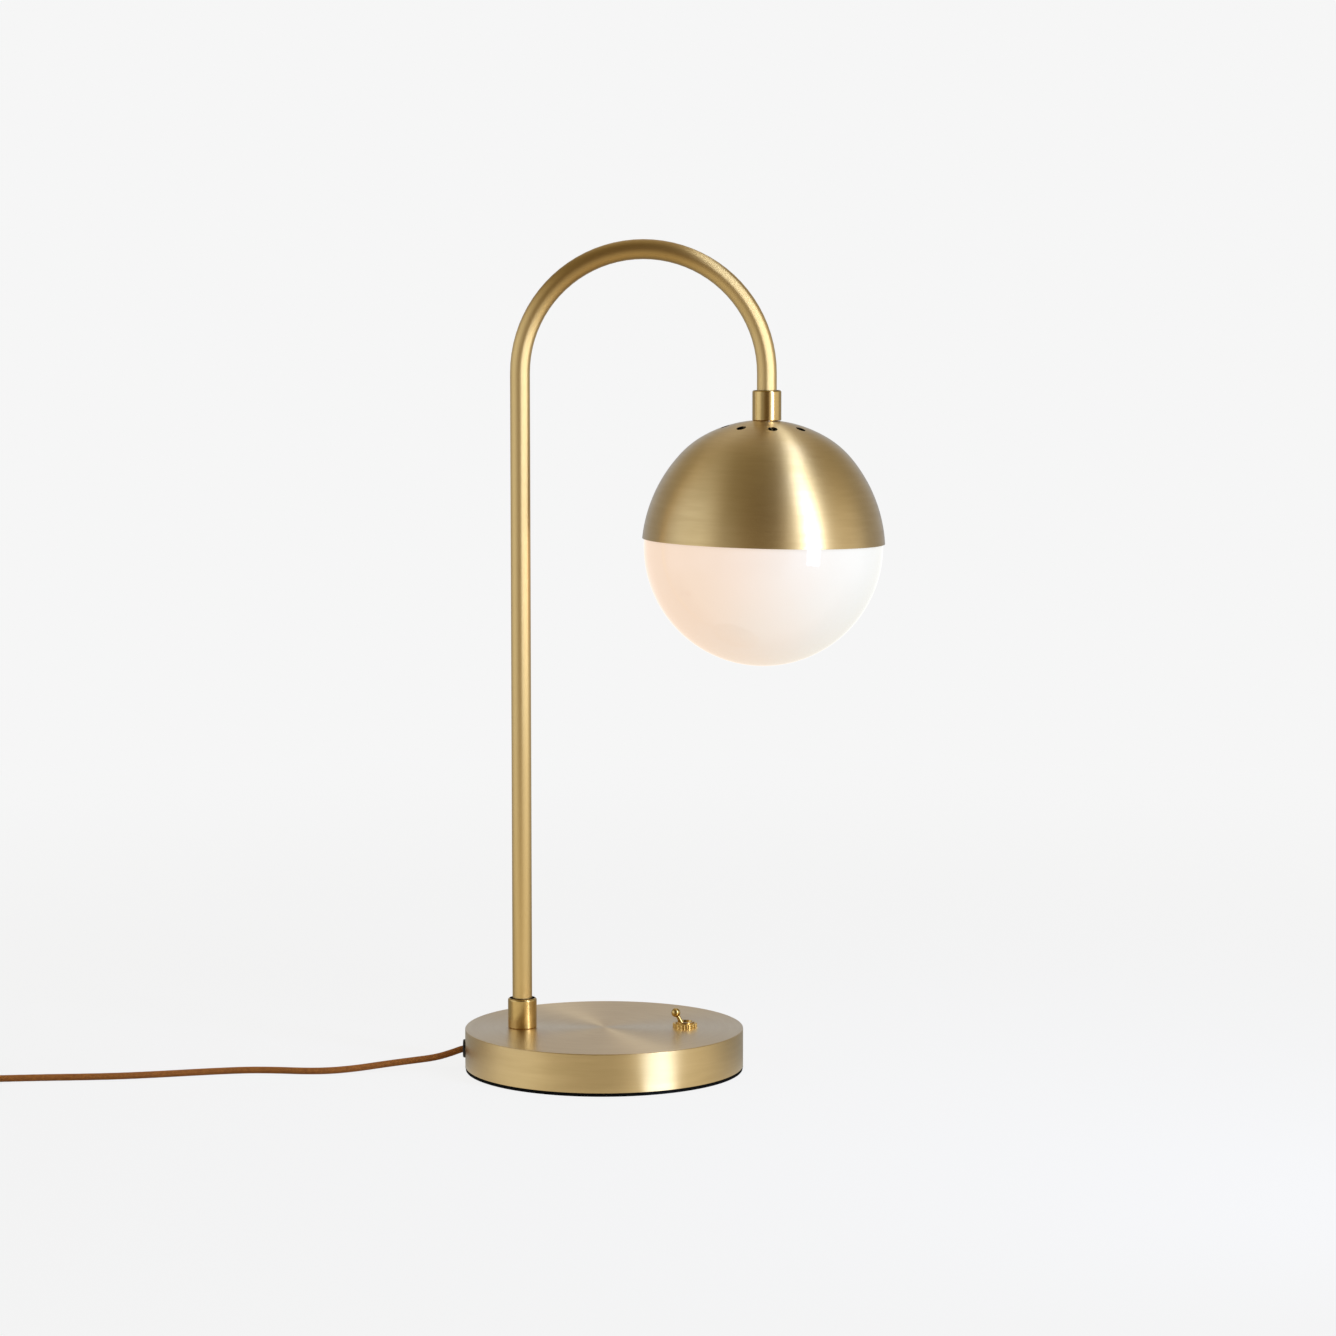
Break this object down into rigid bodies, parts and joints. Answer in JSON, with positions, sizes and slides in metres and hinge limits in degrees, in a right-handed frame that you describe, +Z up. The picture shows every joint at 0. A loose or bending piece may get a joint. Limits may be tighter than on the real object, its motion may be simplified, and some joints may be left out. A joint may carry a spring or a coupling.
{
  "type": "table lamp",
  "caption": "Arched brass table lamp: a glass globe under a vented dome, on a round weighted base with a toggle switch and a fabric cord.",
  "frame": {"origin": "middle of the base's underside, on the surface that the lamp stands on", "axes": "+Z up, +X from the pole towards the globe, +Y away from the side with the switch lever in view"},
  "size_m": [0.6408, 0.186, 0.5223],
  "materials": {
    "brass_spun": "brushed round, satin lacquer",
    "brass_tube": "satin, brushed along",
    "brass_turned": "turned, satin",
    "brass_polished": "polished",
    "brass_plain": "plain",
    "steel_plated": "zinc plated",
    "gallery_metal": "spun",
    "iron": "cast, painted",
    "pad_rubber": "matt foam",
    "opal_glass": "opal, gloss",
    "silicone": "matt",
    "clear_glass": "clear",
    "bulb_metal": "plain",
    "bulb_black": "glossy",
    "filament": "phosphor coated",
    "phenolic": "moulded",
    "porcelain": "fired clay",
    "grommet_plastic": "moulded",
    "nylon": "moulded",
    "cord_fabric": "braided",
    "tie_fabric": "woven hook and loop",
    "lead_brown": "wire insulation",
    "lead_blue": "wire insulation",
    "plug_plastic": "moulded"
  },
  "bodies": {
    "root": {"base_cover": "brass_spun", "base_pad": "pad_rubber", "base_weight": "iron", "bottom_plate": "steel_plated", "bulb_cap": "bulb_metal", "bulb_envelope": "clear_glass", "bulb_filaments": "filament", "bulb_insulator": "bulb_black", "bulb_stem": "clear_glass", "bulb_tip": "bulb_metal", "clamp_screws": "steel_plated", "cord_clamp": "nylon", "cord_coil": "cord_fabric", "cord_grommet": "grommet_plastic", "cord_inner": "cord_fabric", "cord_run": "cord_fabric", "cord_tail": "cord_fabric", "cord_tie": "tie_fabric", "dome_shade": "brass_spun", "foot_collar": "brass_turned", "foot_insert": "brass_plain", "foot_nipple": "steel_plated", "foot_nut": "steel_plated", "foot_washer": "steel_plated", "gallery_nut": "steel_plated", "gallery_spacer": "brass_plain", "glass_gallery": "gallery_metal", "head_collar": "brass_turned", "head_insert": "brass_plain", "head_stud": "steel_plated", "holder_cap": "phenolic", "holder_contact": "brass_plain", "holder_core": "porcelain", "holder_screws": "steel_plated", "holder_shell": "phenolic", "holder_sleeve": "brass_plain", "lead_live": "lead_brown", "lead_neutral": "lead_blue", "pin_sleeves": "plug_plastic", "plate_screws": "steel_plated", "plug_body": "plug_plastic", "plug_pins": "steel_plated", "pole_tube": "brass_tube", "riser_live": "lead_brown", "riser_neutral": "lead_blue", "shade_nipple": "steel_plated", "switch_back_nut": "steel_plated", "switch_bushing": "brass_polished", "switch_case": "phenolic", "switch_dress_nut": "brass_polished", "switch_floor": "phenolic", "switch_pin": "steel_plated", "switch_terminals": "brass_plain", "wire_connector": "nylon"},
    "globe_thread": {"globe_gasket": "silicone"},
    "globe": {"glass_globe": "opal_glass"},
    "lever": {"switch_lever": "brass_polished", "switch_plunger": "brass_plain"},
    "rocker": {"switch_rocker": "brass_plain"}
  },
  "joints": [
    {"name": "globe_drop", "type": "slide", "parent": "root", "child": "globe_thread", "axis": [-0.0244, 0, -0.9997], "range_m": [0, 0.00801]},
    {"name": "globe_turn", "type": "hinge", "parent": "globe_thread", "child": "globe", "pos_m": [0.10017, 0, 0.33473], "axis": [-0.0244, 0, -0.9997], "range_deg": [0, 720]},
    {"name": "lever_throw", "type": "hinge", "parent": "root", "child": "lever", "pos_m": [0.0511, 0, 0.025], "axis": [0, 1, 0], "range_deg": [0, 57.4]},
    {"name": "rocker_swing", "type": "hinge", "parent": "root", "child": "rocker", "pos_m": [0.0511, 0, 0.0133], "axis": [0, 1, 0], "range_deg": [-24.1, 0]}
  ],
  "couplings": [
    {"joint": "globe_drop", "follows": "globe_turn", "m_per_rad": 0.00063662},
    {"joint": "rocker_swing", "follows": "lever_throw", "ratio": -0.41812}
  ]
}
